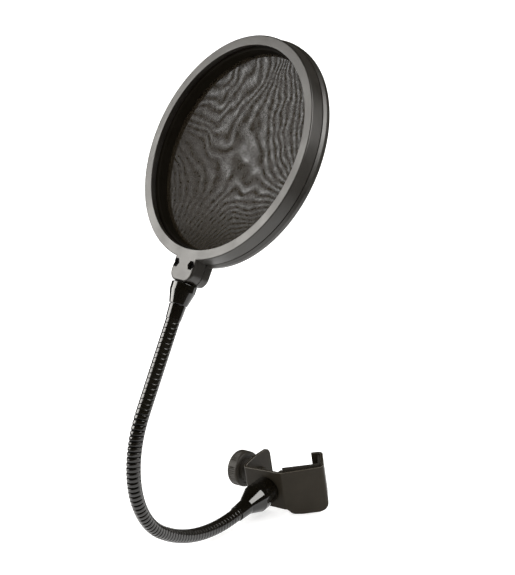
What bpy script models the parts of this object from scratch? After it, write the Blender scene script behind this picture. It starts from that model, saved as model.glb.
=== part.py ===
"""Clamp-on pop filter: a twin-screen hoop on a gooseneck with a sheet-metal tube clamp.

Metres, +Z up. The origin is on the jaw liner, where the microphone stand bears.
"""
import math

import bmesh
import bpy
from mathutils import Matrix, Vector

MM = 0.001
GAP = 0.3 * MM

# Clamp attitude: yaw about Z, dip of the neck's outlet, roll about the outlet
YAW = math.radians(-34.2)
DIP = math.radians(10.5)
CLAMP_ROLL = math.radians(-2.4)
NECK_ROLL = math.radians(4.5)

# Clamp bracket, one strip of sheet steel seen from above: x along the front, y to the back
SHEET = 2.0 * MM
BEND_RADIUS = 3.0 * MM
FLANGE_ANGLE = math.radians(84)
FLANGE_LENGTH = 30.5 * MM
FRONT_LENGTH = 34.4 * MM
JAW_ANGLE = math.radians(33.5)
JAW_LENGTH = 32.5 * MM
ARM_LENGTH = 21.0 * MM
LIP_LENGTH = 8.8 * MM
FOLD_HALF_HEIGHT = 9.1 * MM
JAW_TOP = 10.3 * MM
JAW_BOTTOM = -26.4 * MM
ARM_BOTTOM = -17 * MM
COLUMN_PITCH = 1.5 * MM

# Jaw liner on the inside of the jaw plate and the arm
LINER = 1.8 * MM
LINER_START = 1.6 * MM
LINER_BOTTOM = -14 * MM
LINER_TOP = 11.8 * MM

# Thumbscrew
SCREW_HEIGHT = -3.6 * MM
SCREW_ALONG_FLANGE = 17.2 * MM
SCREW_RADIUS = 3.0 * MM
SCREW_CLEARANCE = 0.35 * MM
SCREW_TIP = 18.5 * MM
PAD_RADIUS = 5.7 * MM
PAD_THICKNESS = 2.6 * MM
PAD_FACING = 1.6 * MM
KNOB_GAP = 10.2 * MM
KNOB_RADIUS = 13.7 * MM
KNOB_LENGTH = 10.6 * MM

# Neck: the lower ferrule's place on the bracket, then the neck's centre line
OUTLET_X = 20.3 * MM
OUTLET_Z = -6.3 * MM
LOWER_FERRULE_LENGTH = 34.4 * MM
FERRULE_RADIUS = 10.8 * MM
NECK_RADIUS = 5.0 * MM
NECK_BENDS = ((4.3, 0), (100.7, 40.4), (109.0, 86.6), (90.7, 0))
LINK_COUNT = 8
LINK_GAP = 1.9 * MM
LINK_CHAMFER = 1.0 * MM
UPPER_FERRULE_LENGTH = 14.5 * MM
NECK_SOCKET = 12 * MM
SLEEVE_LENGTH = 10.3 * MM
SLEEVE_RADIUS = 5.9 * MM

# Head: x across, y up along the stem, z from the front face to the back
SWIVEL = math.radians(-18.3)
LEAN = math.radians(2.3)
RING_HEIGHT = 96.4 * MM
RING_FRONT = -5.5 * MM
RING_RADIUS = 80.2 * MM
REAR_RADIUS = 82.0 * MM
RING_INNER = 73.2 * MM
SEAM_DEPTH = 9.2 * MM
HEAD_DEPTH = 16.2 * MM
SPREADER_INNER = 71.4 * MM
SPREADER_FRONT = 5.2 * MM
SPREADER_BACK = 12.9 * MM
SCREEN_THICKNESS = 0.4 * MM
REAR_LIP_INNER = 70.6 * MM
TAB_HALF_WIDTH = 11.8 * MM
TAB_BOTTOM = 95.2 * MM
TAB_CORNER = 6.5 * MM
FASTENER_X = 8.0 * MM
FASTENER_OFFSET = 0.4 * MM
HEAD_OFFSET = 1.3 * MM
FASTENER_Y = -83.9 * MM
NUT_ACROSS_FLATS = 5.4 * MM
POCKET_ACROSS_FLATS = 6.0 * MM
STUD_RADIUS = 3.0 * MM

RING_STEPS = 96
SMALL_STEPS = 32


def clear_scene():
    for obj in list(bpy.data.objects):
        bpy.data.objects.remove(obj, do_unlink=True)
    for collection in list(bpy.data.collections):
        bpy.data.collections.remove(collection)


clear_scene()
PARTS = bpy.data.collections.new("pop_filter")
CUTTERS = bpy.data.collections.new("cutters")
bpy.context.scene.collection.children.link(PARTS)
bpy.context.scene.collection.children.link(CUTTERS)


# ---------------------------------------------------------------- helpers

def material(name, colour, roughness, metallic=0.0, alpha=1.0):
    mat = bpy.data.materials.new(name)
    mat.use_nodes = True
    shader = mat.node_tree.nodes["Principled BSDF"]
    shader.inputs["Base Color"].default_value = (*colour, 1.0)
    shader.inputs["Roughness"].default_value = roughness
    shader.inputs["Metallic"].default_value = metallic
    shader.inputs["Alpha"].default_value = alpha
    mat.diffuse_color = (*colour, 1.0)
    return mat


def frame_empty(name, matrix, parent=None):
    empty = bpy.data.objects.new(name, None)
    PARTS.objects.link(empty)
    empty.parent = parent
    empty.matrix_local = matrix
    return empty


def add_part(name, mesh, mat, parent, matrix=None):
    obj = bpy.data.objects.new(name, mesh)
    PARTS.objects.link(obj)
    obj.parent = parent
    if matrix is not None:
        obj.matrix_local = matrix
    mesh.materials.append(mat)
    return obj


def add_cutter(name, mesh, parent, matrix=None):
    obj = bpy.data.objects.new(name, mesh)
    CUTTERS.objects.link(obj)
    obj.parent = parent
    if matrix is not None:
        obj.matrix_local = matrix
    obj.hide_render = True
    obj.display_type = 'WIRE'
    return obj


def combine(target, other, operation='DIFFERENCE'):
    mod = target.modifiers.new(operation.title(), 'BOOLEAN')
    mod.operation = operation
    mod.object = other
    mod.solver = 'EXACT'


def turn(obj, steps):
    """Sweep the object's profile once round its own Z axis."""
    mod = obj.modifiers.new("Turn", 'SCREW')
    mod.axis = 'Z'
    mod.steps = steps
    mod.render_steps = steps
    mod.use_merge_vertices = True
    mod.merge_threshold = 0.00001
    mod.use_smooth_shade = True


def profile_mesh(name, points, closed):
    """Profile as (radius, z) points, down the outer side; closed for a ring."""
    bm = bmesh.new()
    verts = [bm.verts.new((radius, 0, z)) for radius, z in points]
    for first, second in zip(verts, verts[1:]):
        bm.edges.new((first, second))
    if closed:
        bm.edges.new((verts[-1], verts[0]))
    mesh = bpy.data.meshes.new(name)
    bm.to_mesh(mesh)
    bm.free()
    return mesh


def turned_part(name, points, mat, parent, matrix=None, closed=False, steps=SMALL_STEPS):
    obj = add_part(name, profile_mesh(name, points, closed), mat, parent, matrix)
    turn(obj, steps)
    return obj


def prism_mesh(name, radius, length, sides, start=0.0):
    """Regular prism about Z from z = start, corners at the given radius."""
    bm = bmesh.new()
    bmesh.ops.create_cone(bm, cap_ends=True, segments=sides, radius1=radius, radius2=radius, depth=length)
    bmesh.ops.translate(bm, verts=bm.verts, vec=(0, 0, start + length / 2))
    mesh = bpy.data.meshes.new(name)
    bm.to_mesh(mesh)
    bm.free()
    return mesh


def box_mesh(name, low, high):
    bm = bmesh.new()
    size = [b - a for a, b in zip(low, high)]
    centre = [(a + b) / 2 for a, b in zip(low, high)]
    bmesh.ops.create_cube(bm, size=1.0, matrix=Matrix.Translation(centre) @ Matrix.Diagonal((*size, 1)))
    mesh = bpy.data.meshes.new(name)
    bm.to_mesh(mesh)
    bm.free()
    return mesh


def hex_radius(across_flats):
    return across_flats / math.sqrt(3)


def rounded_path(corners, radius, arc_steps=6):
    """Open polyline through the corners in a plane, each inner corner replaced by an arc."""
    points = [Vector(corners[0])]
    for before, corner, after in zip(corners, corners[1:], corners[2:]):
        corner = Vector(corner)
        back = (Vector(before) - corner).normalized()
        ahead = (Vector(after) - corner).normalized()
        half = back.angle(ahead) / 2
        reach = radius / math.tan(half)
        centre = corner + (back + ahead).normalized() * (radius / math.sin(half))
        start = corner + back * reach - centre
        sweep = math.pi - 2 * half
        sign = 1 if back.x * ahead.y - back.y * ahead.x < 0 else -1
        for step in range(arc_steps + 1):
            angle = sign * sweep * step / arc_steps
            turned = Vector((start.x * math.cos(angle) - start.y * math.sin(angle),
                             start.x * math.sin(angle) + start.y * math.cos(angle)))
            points.append(centre + turned)
    points.append(Vector(corners[-1]))
    return points


def outline_mesh(name, points, low, high):
    """Flat outline in XY, filled and extruded from z = low to z = high."""
    curve = bpy.data.curves.new(name, 'CURVE')
    curve.dimensions = '2D'
    curve.fill_mode = 'BOTH'
    curve.extrude = (high - low) / 2
    spline = curve.splines.new('POLY')
    spline.points.add(len(points) - 1)
    for point, (x, y) in zip(spline.points, points):
        point.co = (x, y, 0, 1)
    spline.use_cyclic_u = True
    holder = bpy.data.objects.new(name, curve)
    CUTTERS.objects.link(holder)
    bpy.context.view_layer.update()
    mesh = bpy.data.meshes.new_from_object(holder.evaluated_get(bpy.context.evaluated_depsgraph_get()))
    bpy.data.objects.remove(holder, do_unlink=True)
    bm = bmesh.new()
    bm.from_mesh(mesh)
    bmesh.ops.remove_doubles(bm, verts=bm.verts, dist=0.000001)
    bmesh.ops.translate(bm, verts=bm.verts, vec=(0, 0, (low + high) / 2))
    bmesh.ops.recalc_face_normals(bm, faces=bm.faces)
    bm.to_mesh(mesh)
    bm.free()
    return mesh


# ---------------------------------------------------------------- materials

STEEL_PAINT = material("bracket_paint", (0.045, 0.042, 0.037), 0.45, 0.3)
LINER_RUBBER = material("liner_rubber", (0.03, 0.028, 0.025), 0.7)
KNOB_PLASTIC = material("knob_plastic", (0.035, 0.033, 0.03), 0.5)
BRIGHT_STEEL = material("bright_steel", (0.45, 0.44, 0.42), 0.3, 1.0)
GLOSS_BLACK = material("gloss_black", (0.006, 0.0055, 0.005), 0.12)
NECK_BLACK = material("neck_black", (0.012, 0.011, 0.01), 0.28, 0.4)
HOOP_PLASTIC = material("hoop_plastic", (0.055, 0.052, 0.047), 0.42)
DARK_PLASTIC = material("dark_plastic", (0.01, 0.0095, 0.009), 0.5)
SCREEN_NYLON = material("screen_nylon", (0.02, 0.019, 0.018), 0.6, alpha=0.75)
BLACK_STEEL = material("black_steel", (0.015, 0.014, 0.013), 0.4, 0.8)


# ---------------------------------------------------------------- frames

def attitude(roll):
    return Matrix.Rotation(YAW, 4, 'Z') @ Matrix.Rotation(DIP, 4, 'X') @ Matrix.Rotation(roll, 4, 'Y')


def jaw_directions():
    along = Vector((math.cos(JAW_ANGLE), math.sin(JAW_ANGLE)))
    inward = Vector((-math.sin(JAW_ANGLE), math.cos(JAW_ANGLE)))
    return along, inward


def jaw_face_point():
    """Middle of the liner's face on the jaw plate, in the clamp's own frame."""
    along, inward = jaw_directions()
    middle = (LINER_START + JAW_LENGTH) / 2
    flat = Vector((FRONT_LENGTH, 0)) + along * middle + inward * (SHEET + GAP + LINER)
    return Vector((flat.x, flat.y, (LINER_BOTTOM + JAW_TOP) / 2))


def clamp_matrix():
    turn_only = attitude(CLAMP_ROLL)
    return Matrix.Translation(-(turn_only @ jaw_face_point())) @ turn_only


def screw_matrix():
    """Screw frame inside the clamp's: z runs into the clamp, z = 0 on the flange's inner face."""
    flange = Vector((math.cos(FLANGE_ANGLE), math.sin(FLANGE_ANGLE), 0))
    drive = Vector((math.sin(FLANGE_ANGLE), -math.cos(FLANGE_ANGLE), 0))
    side = Vector((0, 0, 1)).cross(drive)
    place = flange * SCREW_ALONG_FLANGE + drive * SHEET + Vector((0, 0, SCREW_HEIGHT))
    turn_only = Matrix((side, Vector((0, 0, 1)), drive)).transposed().to_4x4()
    if turn_only.determinant() < 0:
        turn_only = Matrix((-side, Vector((0, 0, 1)), drive)).transposed().to_4x4()
    return Matrix.Translation(place) @ turn_only


def neck_matrix():
    """Neck frame: origin on the bracket's face, the outlet along -Y, the neck curls towards +Z."""
    outlet = clamp_matrix() @ Vector((OUTLET_X, 0, OUTLET_Z))
    return Matrix.Translation(outlet) @ attitude(NECK_ROLL)


def neck_length():
    return sum(length for length, _ in NECK_BENDS) * MM


def neck_station(distance):
    """Centre-line point and turned angle, in the neck frame's YZ plane, past the lower ferrule."""
    point = Vector((0, -LOWER_FERRULE_LENGTH, 0))
    angle = 0.0
    left = distance
    for length_mm, bend in NECK_BENDS:
        length = length_mm * MM
        run = min(left, length)
        turned = math.radians(bend) * run / length
        if bend:
            radius = length / math.radians(bend)
            point += radius * Vector((0, -(math.sin(angle + turned) - math.sin(angle)),
                                      -(math.cos(angle + turned) - math.cos(angle))))
        else:
            point += run * Vector((0, -math.cos(angle), math.sin(angle)))
        angle += turned
        left -= run
        if left <= 0:
            break
    return point, angle


def station_matrix(distance):
    """Frame on the centre line, z along the neck away from the clamp, x across the neck's plane."""
    point, angle = neck_station(distance)
    onward = Vector((0, -math.cos(angle), math.sin(angle)))
    across = Vector((1, 0, 0))
    turn_only = Matrix((across, onward.cross(across), onward)).transposed().to_4x4()
    return Matrix.Translation(point) @ turn_only


def head_matrix():
    """Head frame inside the neck's: y up the stem, z from the front face to the back."""
    stem = station_matrix(neck_length()) @ Matrix.Rotation(SWIVEL, 4, 'Z')
    upright = Matrix(((-1, 0, 0, 0), (0, 0, 1, 0), (0, 1, 0, 0), (0, 0, 0, 1)))
    centre = Matrix.Translation((HEAD_OFFSET, RING_HEIGHT, RING_FRONT))
    return stem @ upright @ Matrix.Rotation(LEAN, 4, 'Z') @ centre


# ---------------------------------------------------------------- clamp

def sheet_corners():
    """Outer face of the bracket's strip from above: flange, front, jaw, arm and lip."""
    along, inward = jaw_directions()
    flange = Vector((math.cos(FLANGE_ANGLE), math.sin(FLANGE_ANGLE))) * FLANGE_LENGTH
    bend = Vector((FRONT_LENGTH, 0))
    corner = bend + along * JAW_LENGTH
    arm_end = corner + inward * ARM_LENGTH
    lip_end = arm_end - along * LIP_LENGTH
    return [flange, Vector((0, 0)), bend, corner, arm_end, lip_end]


def with_distance(points, pitch):
    """Points with their distance along the path, straight runs divided at the pitch."""
    rows = [(0.0, points[0])]
    travelled = 0.0
    for first, second in zip(points, points[1:]):
        run = (second - first).length
        count = max(1, round(run / pitch))
        for step in range(1, count + 1):
            rows.append((travelled + run * step / count, first.lerp(second, step / count)))
        travelled += run
    return rows


def height_at(distance, outline):
    for (s0, z0), (s1, z1) in zip(outline, outline[1:]):
        if s0 <= distance <= s1:
            return z0 + (z1 - z0) * (distance - s0) / max(s1 - s0, 1e-9)
    return outline[-1][1]


def sheet_mesh(name, corners, bend_radius, top, bottom):
    """Open strip that follows the bent path between its top and bottom outlines."""
    rows = with_distance(rounded_path(corners, bend_radius), COLUMN_PITCH)
    bm = bmesh.new()
    previous = None
    for distance, place in rows:
        low = bm.verts.new((place.x, place.y, height_at(distance, bottom)))
        high = bm.verts.new((place.x, place.y, height_at(distance, top)))
        if previous:
            bm.faces.new((previous[0], low, high, previous[1]))
        previous = (low, high)
    mesh = bpy.data.meshes.new(name)
    bm.to_mesh(mesh)
    bm.free()
    return mesh


def thicken(obj, thickness):
    mod = obj.modifiers.new("Thickness", 'SOLIDIFY')
    mod.thickness = thickness
    mod.offset = -1
    mod.use_even_offset = True


def bracket_outlines():
    """Top and bottom edges of the unrolled strip, as (distance, height)."""
    fold = FLANGE_LENGTH
    bend = fold + FRONT_LENGTH
    corner = bend + JAW_LENGTH
    arm_end = corner + ARM_LENGTH
    end = arm_end + LIP_LENGTH
    flange_top = 11.9 * MM
    flange_bottom = -15.5 * MM
    top = [(0, flange_top - 4.5 * MM), (1.2 * MM, flange_top - 1.6 * MM), (3.6 * MM, flange_top - 0.2 * MM),
           (5 * MM, flange_top), (fold - 14 * MM, flange_top), (fold, FOLD_HALF_HEIGHT),
           (bend, FOLD_HALF_HEIGHT), (corner - 4 * MM, JAW_TOP), (corner, JAW_TOP + 0.6 * MM),
           (arm_end, JAW_TOP + 2.8 * MM), (end - 1.5 * MM, JAW_TOP + 2.8 * MM), (end, JAW_TOP + 0.8 * MM)]
    bottom = [(0, flange_bottom + 4.5 * MM), (1.2 * MM, flange_bottom + 1.6 * MM),
              (3.6 * MM, flange_bottom + 0.2 * MM), (5 * MM, flange_bottom), (fold - 13 * MM, flange_bottom),
              (fold - 2 * MM, -FOLD_HALF_HEIGHT), (fold + 1 * MM, -FOLD_HALF_HEIGHT), (fold + 14 * MM, -20.3 * MM),
              (bend, -21.3 * MM), (bend + 1.6 * MM, -24 * MM), (bend + 4.4 * MM, -25.7 * MM),
              (bend + 10 * MM, JAW_BOTTOM), (corner - 9 * MM, JAW_BOTTOM), (corner - 5 * MM, -25.2 * MM),
              (corner - 1.5 * MM, -22 * MM), (corner, -19 * MM), (corner + 3 * MM, ARM_BOTTOM),
              (end - 1.5 * MM, ARM_BOTTOM), (end, ARM_BOTTOM + 2 * MM)]
    return top, bottom


def build_bracket(clamp, screw):
    top, bottom = bracket_outlines()
    mesh = sheet_mesh("clamp_bracket", sheet_corners(), BEND_RADIUS, top, bottom)
    bracket = add_part("clamp_bracket", mesh, STEEL_PAINT, clamp)
    thicken(bracket, SHEET)
    bolt_hole = add_cutter("bolt_hole", prism_mesh("bolt_hole", 2.9 * MM, 8 * MM, 24, -4 * MM), clamp,
                           Matrix.Translation((OUTLET_X, 0, OUTLET_Z)) @ Matrix.Rotation(math.pi / 2, 4, 'X'))
    screw_hole = add_cutter("screw_hole", prism_mesh("screw_hole", 3.6 * MM, 8 * MM, 24, -5 * MM), screw)
    combine(bracket, bolt_hole)
    combine(bracket, screw_hole)


def build_liner(clamp):
    along, inward = jaw_directions()
    bend = Vector((FRONT_LENGTH, 0))
    lift = inward * (SHEET + GAP)
    start = bend + along * LINER_START + lift
    corner = bend + along * (JAW_LENGTH - SHEET - GAP) + lift
    end = bend + along * (JAW_LENGTH - SHEET - GAP) + inward * (ARM_LENGTH - SHEET - 1.2 * MM)
    length = JAW_LENGTH + ARM_LENGTH
    mesh = sheet_mesh("jaw_liner", [start, corner, end], BEND_RADIUS, [(0, LINER_TOP), (length, LINER_TOP)],
                      [(0, LINER_BOTTOM), (length, LINER_BOTTOM)])
    thicken(add_part("jaw_liner", mesh, LINER_RUBBER, clamp), LINER)


def build_bracket_fasteners(clamp, screw):
    bore = SCREW_RADIUS + SCREW_CLEARANCE
    collar = [(4.3 * MM, 3.6 * MM), (4.6 * MM, 3.2 * MM), (4.6 * MM, 1.0 * MM), (5.0 * MM, GAP), (bore, GAP),
              (bore, 3.6 * MM)]
    turned_part("threaded_bush", collar, BLACK_STEEL, screw, closed=True)
    inside = Matrix.Translation((OUTLET_X, SHEET, OUTLET_Z)) @ Matrix.Rotation(-math.pi / 2, 4, 'X')
    ring = [(5.5 * MM, 1.3 * MM), (5.5 * MM, GAP), (2.9 * MM, GAP), (2.9 * MM, 1.3 * MM)]
    turned_part("mounting_washer", ring, BRIGHT_STEEL, clamp, inside, closed=True)
    head = 1.3 * MM + GAP
    bolt = add_part("mounting_bolt", prism_mesh("mounting_bolt", hex_radius(8 * MM), 3.5 * MM, 6, head),
                    BLACK_STEEL, clamp, inside)
    shank = add_cutter("bolt_shank", prism_mesh("bolt_shank", 2.5 * MM, 17 * MM, SMALL_STEPS, head + 1 * MM - 17 * MM),
                       clamp, inside)
    combine(bolt, shank, 'UNION')


def build_lower_ferrule(neck):
    """Drum against the bracket, cone towards the neck; bored for the bolt and for the neck's end."""
    length = LOWER_FERRULE_LENGTH
    drum = 17 * MM
    bore = 2.9 * MM
    socket = NECK_RADIUS + GAP
    profile = [(0, 20 * MM), (socket, 20 * MM), (socket, length), (6.3 * MM, length), (6.7 * MM, length - 0.6 * MM),
               (8.6 * MM, length - 9 * MM), (10.1 * MM, drum + 0.8 * MM), (FERRULE_RADIUS, drum - 0.6 * MM),
               (FERRULE_RADIUS, drum - 5 * MM), (10.4 * MM, 6 * MM), (10.4 * MM, 1.0 * MM), (9.8 * MM, GAP),
               (bore, GAP), (bore, 18 * MM), (0, 18 * MM)]
    turned_part("lower_ferrule", profile, GLOSS_BLACK, neck, Matrix.Rotation(math.pi / 2, 4, 'X'))


def build_thumbscrew(screw):
    """Pad carriage, and the screw with its knob; z = 0 is the flange's inner face."""
    back = -(SHEET + KNOB_GAP)
    socket_depth = 1.2 * MM
    pad_back = SCREW_TIP
    pad = [(PAD_RADIUS - 0.6 * MM, pad_back + PAD_THICKNESS), (PAD_RADIUS, pad_back + PAD_THICKNESS - 0.6 * MM),
           (PAD_RADIUS, pad_back + 0.5 * MM), (PAD_RADIUS - 0.5 * MM, pad_back), (2.5 * MM, pad_back),
           (2.5 * MM, pad_back + socket_depth), (0, pad_back + socket_depth)]
    turned_part("pressure_pad", [(0, pad_back + PAD_THICKNESS)] + pad, BLACK_STEEL, screw)
    face = pad_back + PAD_THICKNESS + GAP
    facing = [(0, face + PAD_FACING), (PAD_RADIUS - 0.6 * MM, face + PAD_FACING),
              (PAD_RADIUS - 0.1 * MM, face + PAD_FACING - 0.5 * MM), (PAD_RADIUS - 0.1 * MM, face), (0, face)]
    turned_part("pad_facing", facing, LINER_RUBBER, screw)
    nose = pad_back + socket_depth - GAP
    shank = [(0, nose), (2.2 * MM, nose), (2.2 * MM, pad_back - 1.0 * MM), (SCREW_RADIUS, pad_back - 2.0 * MM),
             (SCREW_RADIUS, back - KNOB_LENGTH + 3 * MM), (0, back - KNOB_LENGTH + 3 * MM)]
    turned_part("clamp_screw", shank, BRIGHT_STEEL, screw)
    bore = SCREW_RADIUS + GAP
    rim = KNOB_RADIUS
    knob = [(10.4 * MM, back), (rim - 1.2 * MM, back - 1.4 * MM), (rim - 1.2 * MM, back - 2.4 * MM),
            (rim, back - 3.2 * MM), (rim, back - KNOB_LENGTH + 1.6 * MM), (rim - 1.6 * MM, back - KNOB_LENGTH),
            (8.0 * MM, back - KNOB_LENGTH), (8.0 * MM, back - KNOB_LENGTH + 2 * MM),
            (bore, back - KNOB_LENGTH + 2 * MM), (bore, back)]
    turned_part("thumb_knob", knob, KNOB_PLASTIC, screw, closed=True, steps=48)
    cap = back - KNOB_LENGTH + 2 * MM - GAP
    insert = [(0, cap), (7.7 * MM, cap), (7.7 * MM, cap - 1.2 * MM), (7.2 * MM, cap - 1.6 * MM), (0, cap - 1.6 * MM)]
    turned_part("knob_cap", insert, KNOB_PLASTIC, screw)


# ---------------------------------------------------------------- neck

def link_tube(name, start, end, neck):
    """One length of the neck's hose as a bevelled curve, its ends drawn in so that it can flex."""
    stops = [start, start + LINK_CHAMFER]
    inner = 6
    span = end - start - 2 * LINK_CHAMFER
    stops += [start + LINK_CHAMFER + span * step / inner for step in range(1, inner)]
    stops += [end - LINK_CHAMFER, end]
    curve = bpy.data.curves.new(name, 'CURVE')
    curve.dimensions = '3D'
    curve.bevel_depth = NECK_RADIUS
    curve.bevel_resolution = 4
    curve.use_fill_caps = True
    spline = curve.splines.new('POLY')
    spline.points.add(len(stops) - 1)
    for point, stop in zip(spline.points, stops):
        place, _ = neck_station(stop)
        point.co = (*place, 1)
        point.radius = 1.0
    drawn_in = 1 - LINK_CHAMFER / NECK_RADIUS
    spline.points[0].radius = drawn_in
    spline.points[-1].radius = drawn_in
    curve.materials.append(NECK_BLACK)
    obj = bpy.data.objects.new(name, curve)
    PARTS.objects.link(obj)
    obj.parent = neck


def build_neck(neck):
    hose = neck_length() - UPPER_FERRULE_LENGTH
    pitch = (hose - SLEEVE_LENGTH) / LINK_COUNT
    for index in range(LINK_COUNT):
        start = index * pitch + LINK_GAP / 2 if index else -NECK_SOCKET
        last = index == LINK_COUNT - 1
        end = hose if last else (index + 1) * pitch - LINK_GAP / 2
        link_tube(f"neck_link_{index + 1}", start, end - (GAP if last else 0), neck)


def build_neck_top(neck):
    end = neck_length()
    ferrule_start = end - UPPER_FERRULE_LENGTH
    sleeve_start = ferrule_start - SLEEVE_LENGTH
    bore = NECK_RADIUS + GAP
    length = SLEEVE_LENGTH - GAP
    sleeve = [(SLEEVE_RADIUS, length), (5.6 * MM, 0.6 * MM), (5.5 * MM, 0), (bore, 0), (bore, length)]
    turned_part("upper_sleeve", sleeve, GLOSS_BLACK, neck, station_matrix(sleeve_start), closed=True)
    high = UPPER_FERRULE_LENGTH
    stud_bore = STUD_RADIUS + GAP
    ferrule = [(0, high - 10 * MM), (stud_bore, high - 10 * MM), (stud_bore, high), (7.8 * MM, high),
               (8.3 * MM, high - 0.5 * MM), (8.35 * MM, high - 5 * MM), (7.9 * MM, high - 7 * MM),
               (6.4 * MM, 1.0 * MM), (5.9 * MM, 0), (0, 0)]
    turned_part("upper_ferrule", ferrule, GLOSS_BLACK, neck, station_matrix(ferrule_start))


# ---------------------------------------------------------------- head

def tab_outline():
    """Rounded tab under the hoop; its top edge lies inside the hoop's own material."""
    top = -76 * MM
    side = TAB_HALF_WIDTH
    corners = [(side, top), (side, -TAB_BOTTOM), (-side, -TAB_BOTTOM), (-side, top)]
    return rounded_path(corners, TAB_CORNER, 8)


def build_hoop(name, points, low, high, head, cuts):
    hoop = turned_part(name, points, HOOP_PLASTIC, head, closed=True, steps=RING_STEPS)
    tab = add_cutter(name + "_tab", outline_mesh(name + "_tab", tab_outline(), low, high), head)
    combine(hoop, tab, 'UNION')
    for cutter in cuts:
        combine(hoop, cutter)
    return hoop


def build_head(head):
    front = [(RING_INNER, 0), (RING_INNER, 3.0 * MM), (74.6 * MM, 3.0 * MM), (74.6 * MM, SEAM_DEPTH),
             (RING_RADIUS + 0.7 * MM, SEAM_DEPTH), (RING_RADIUS + 0.1 * MM, 1.0 * MM),
             (RING_RADIUS - 0.2 * MM, 0.3 * MM), (RING_RADIUS - 0.7 * MM, 0)]
    rear_start = SEAM_DEPTH + GAP
    lip = HEAD_DEPTH - 1.4 * MM
    rear = [(74.6 * MM, rear_start), (74.6 * MM, lip), (REAR_LIP_INNER, lip), (REAR_LIP_INNER, HEAD_DEPTH),
            (REAR_RADIUS - 3.4 * MM, HEAD_DEPTH), (REAR_RADIUS - 1.0 * MM, HEAD_DEPTH - 0.8 * MM),
            (REAR_RADIUS, HEAD_DEPTH - 2.4 * MM), (REAR_RADIUS - 0.5 * MM, rear_start + 2.0 * MM),
            (RING_RADIUS + 0.8 * MM, rear_start)]
    stud_hole = add_cutter("stud_hole", prism_mesh("stud_hole", STUD_RADIUS + GAP, 14 * MM, 24, -8 * MM), head,
                           Matrix.Translation((-HEAD_OFFSET, -RING_HEIGHT, -RING_FRONT)) @ Matrix.Rotation(-LEAN, 4, 'Z')
                           @ Matrix.Rotation(-math.pi / 2, 4, 'X'))
    shanks = []
    for side, label in ((1, "left"), (-1, "right")):
        place = Matrix.Translation((side * FASTENER_X + FASTENER_OFFSET, FASTENER_Y, 0))
        build_tab_fastener(label, head, place)
        shanks.append(add_cutter("shank_hole_" + label, prism_mesh("shank_hole_" + label, 1.75 * MM, 30 * MM, 16,
                                                                   -5 * MM), head, place))
        shanks.append(add_cutter("nut_pocket_" + label, prism_mesh("nut_pocket_" + label,
                                 hex_radius(POCKET_ACROSS_FLATS), 6.2 * MM, 6, -3 * MM), head, place))
        shanks.append(add_cutter("head_recess_" + label, prism_mesh("head_recess_" + label, 2.95 * MM, 4 * MM, 24,
                                                                    HEAD_DEPTH - 2.2 * MM), head, place))
    build_hoop("front_hoop", front, 0, SEAM_DEPTH, head, shanks[:2] + shanks[3:5] + [stud_hole])
    build_hoop("rear_hoop", rear, rear_start, HEAD_DEPTH, head,
               [shanks[0], shanks[2], shanks[3], shanks[5], stud_hole])
    ring = [(SPREADER_INNER, SPREADER_FRONT), (SPREADER_INNER, SPREADER_BACK), (74.3 * MM, SPREADER_BACK),
            (74.3 * MM, SPREADER_FRONT)]
    turned_part("spreader_ring", ring, DARK_PLASTIC, head, closed=True, steps=RING_STEPS)
    depth = SPREADER_BACK + GAP
    for name in ("front_screen", "rear_screen"):
        place = Matrix.Translation((0, 0, depth))
        add_part(name, prism_mesh(name, 74.2 * MM, SCREEN_THICKNESS, RING_STEPS), SCREEN_NYLON, head, place)
        depth += SCREEN_THICKNESS + GAP


def build_tab_fastener(label, head, place):
    """Hex nut low in its front pocket, screw from the back through both hoops."""
    nut = add_part("tab_nut_" + label, prism_mesh("tab_nut_" + label, hex_radius(NUT_ACROSS_FLATS), 2.0 * MM, 6,
                                                  0.9 * MM), BLACK_STEEL, head, place)
    combine(nut, add_cutter("nut_bore_" + label, prism_mesh("nut_bore_" + label, 1.7 * MM, 8 * MM, 16, -2 * MM),
                            head, place))
    seat = HEAD_DEPTH - 2.2 * MM
    profile = [(0, seat + 2.0 * MM), (2.0 * MM, seat + 1.9 * MM), (2.65 * MM, seat + 1.3 * MM), (2.65 * MM, seat + GAP),
               (1.4 * MM, seat + GAP), (1.4 * MM, 1.6 * MM), (0, 1.6 * MM)]
    turned_part("tab_screw_" + label, profile, BLACK_STEEL, head, place, steps=24)


def build_stem(neck):
    """Stud from the upper ferrule up between the two hoops' tabs."""
    end = neck_length()
    length = 15 * MM
    start = -9.4 * MM
    profile = [(0, start + length), (STUD_RADIUS - 0.4 * MM, start + length), (STUD_RADIUS, start + length - 0.4 * MM),
               (STUD_RADIUS, start), (0, start)]
    turned_part("stem_stud", profile, BRIGHT_STEEL, neck, station_matrix(end))


def main():
    clamp = frame_empty("clamp_frame", clamp_matrix())
    screw = frame_empty("screw_frame", screw_matrix(), clamp)
    neck = frame_empty("neck_frame", neck_matrix())
    head = frame_empty("head_frame", head_matrix(), neck)
    build_bracket(clamp, screw)
    build_liner(clamp)
    build_bracket_fasteners(clamp, screw)
    build_thumbscrew(screw)
    build_lower_ferrule(neck)
    build_neck(neck)
    build_neck_top(neck)
    build_stem(neck)
    build_head(head)


main()
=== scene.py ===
import math

import bmesh
import bpy
import numpy as np
from mathutils import Matrix, Vector


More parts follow.
